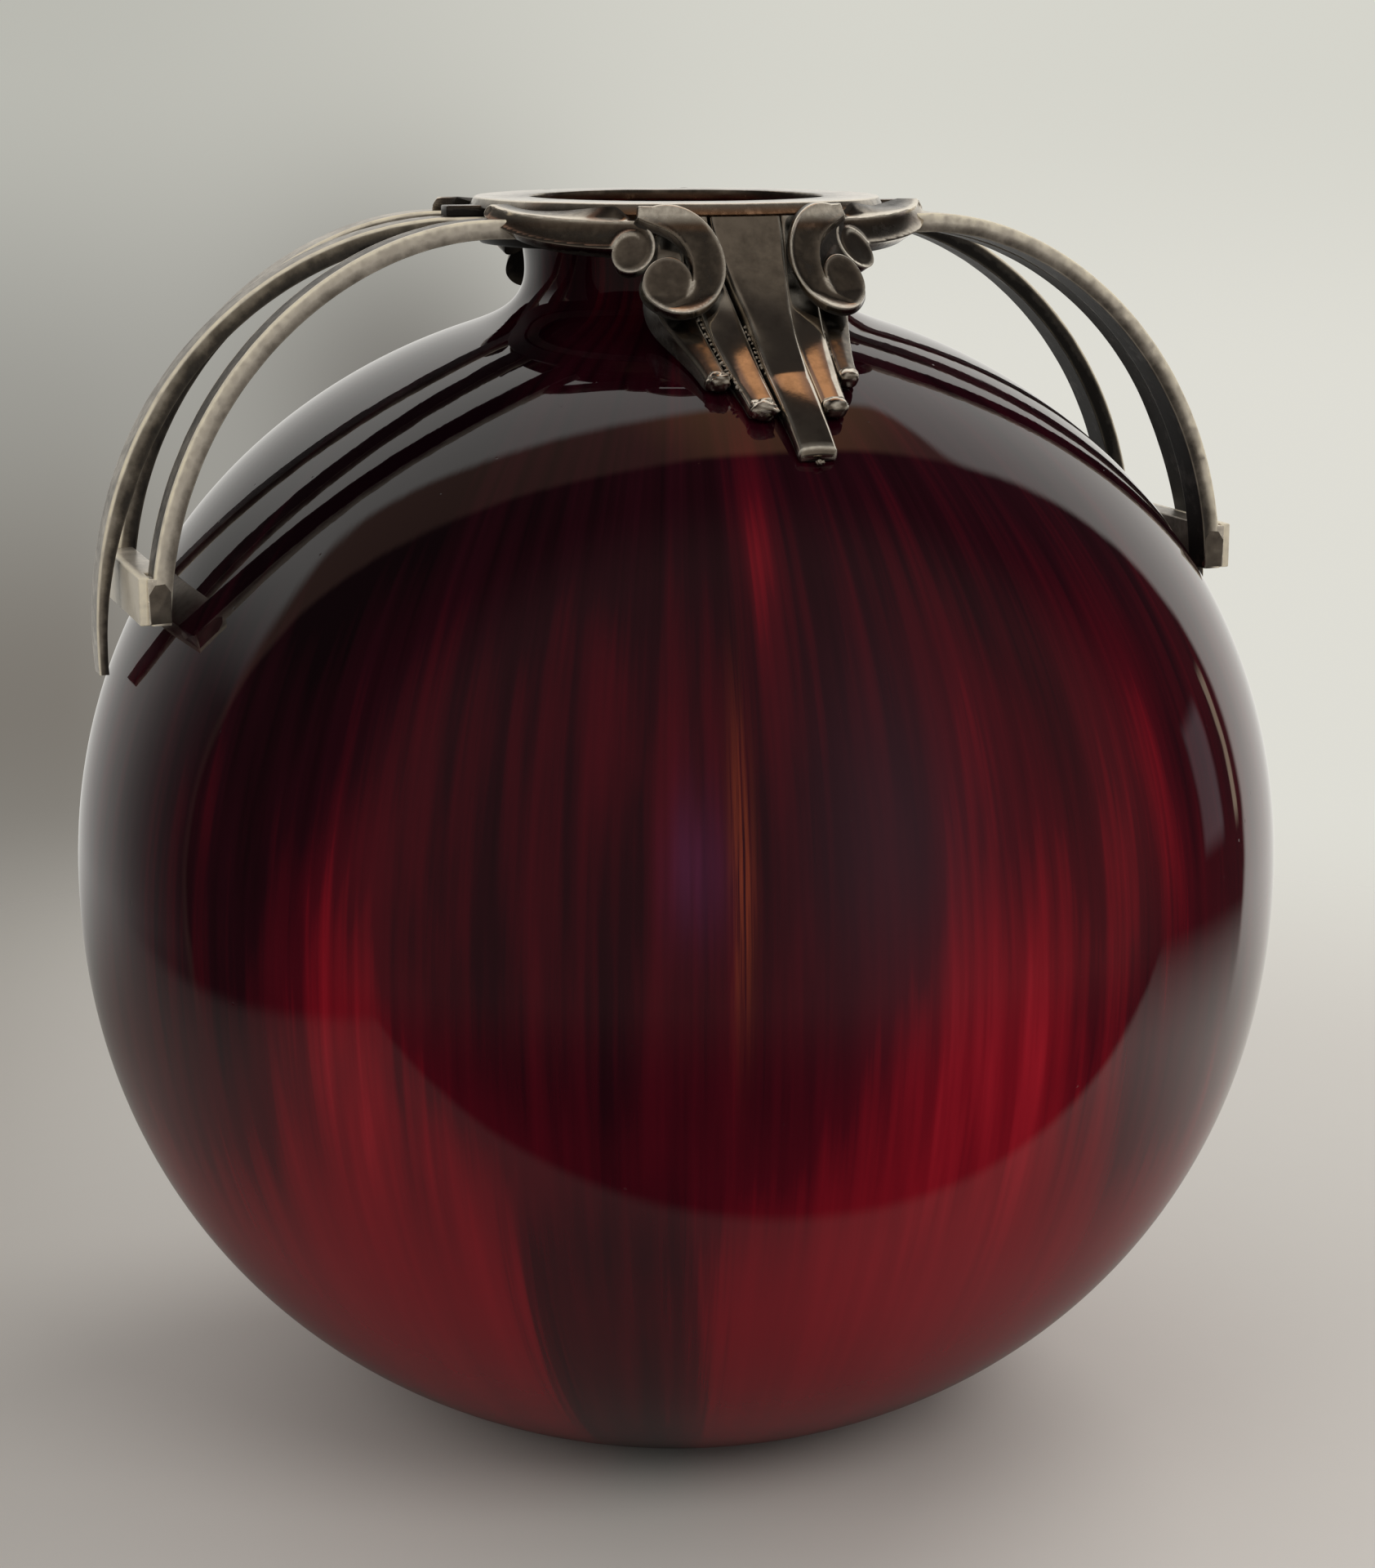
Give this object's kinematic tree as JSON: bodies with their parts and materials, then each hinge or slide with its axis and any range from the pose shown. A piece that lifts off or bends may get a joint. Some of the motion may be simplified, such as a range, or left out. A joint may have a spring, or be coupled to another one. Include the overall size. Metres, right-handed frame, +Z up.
{
  "type": "ball vase",
  "caption": "Spherical glazed ceramic vase with a soldered silver collar, fluted scroll ornaments front and back, and open barred handles.",
  "frame": {"origin": "on the floor under the middle of the ball", "axes": "+Z up along the neck, -Y to the front ornament, +X to the right handle"},
  "size_m": [0.25, 0.25, 0.255],
  "materials": {
    "red_glaze": "very glossy deep red glaze with darker streaks down the ball",
    "tarnished_silver": "hand-finished silver, tarnished grey in the hollows and bright on the edges",
    "plaster": "dry plaster"
  },
  "bodies": {
    "root": {"ceramic_body": "red_glaze", "collar": "tarnished_silver", "bedding_ring": "plaster", "front_strip_centre": "tarnished_silver", "front_strip_inner_right": "tarnished_silver", "front_strip_inner_left": "tarnished_silver", "front_strip_outer_right": "tarnished_silver", "front_strip_outer_left": "tarnished_silver", "front_scroll_right": "tarnished_silver", "front_scroll_left": "tarnished_silver", "front_wing_right": "tarnished_silver", "front_wing_left": "tarnished_silver", "rear_strip_centre": "tarnished_silver", "rear_strip_inner_right": "tarnished_silver", "rear_strip_inner_left": "tarnished_silver", "rear_strip_outer_right": "tarnished_silver", "rear_strip_outer_left": "tarnished_silver", "rear_scroll_right": "tarnished_silver", "rear_scroll_left": "tarnished_silver", "rear_wing_right": "tarnished_silver", "rear_wing_left": "tarnished_silver", "right_front_bar": "tarnished_silver", "right_middle_bar": "tarnished_silver", "right_rear_bar": "tarnished_silver", "right_cross_block": "tarnished_silver", "left_front_bar": "tarnished_silver", "left_middle_bar": "tarnished_silver", "left_rear_bar": "tarnished_silver", "left_cross_block": "tarnished_silver"}
  },
  "joints": []
}
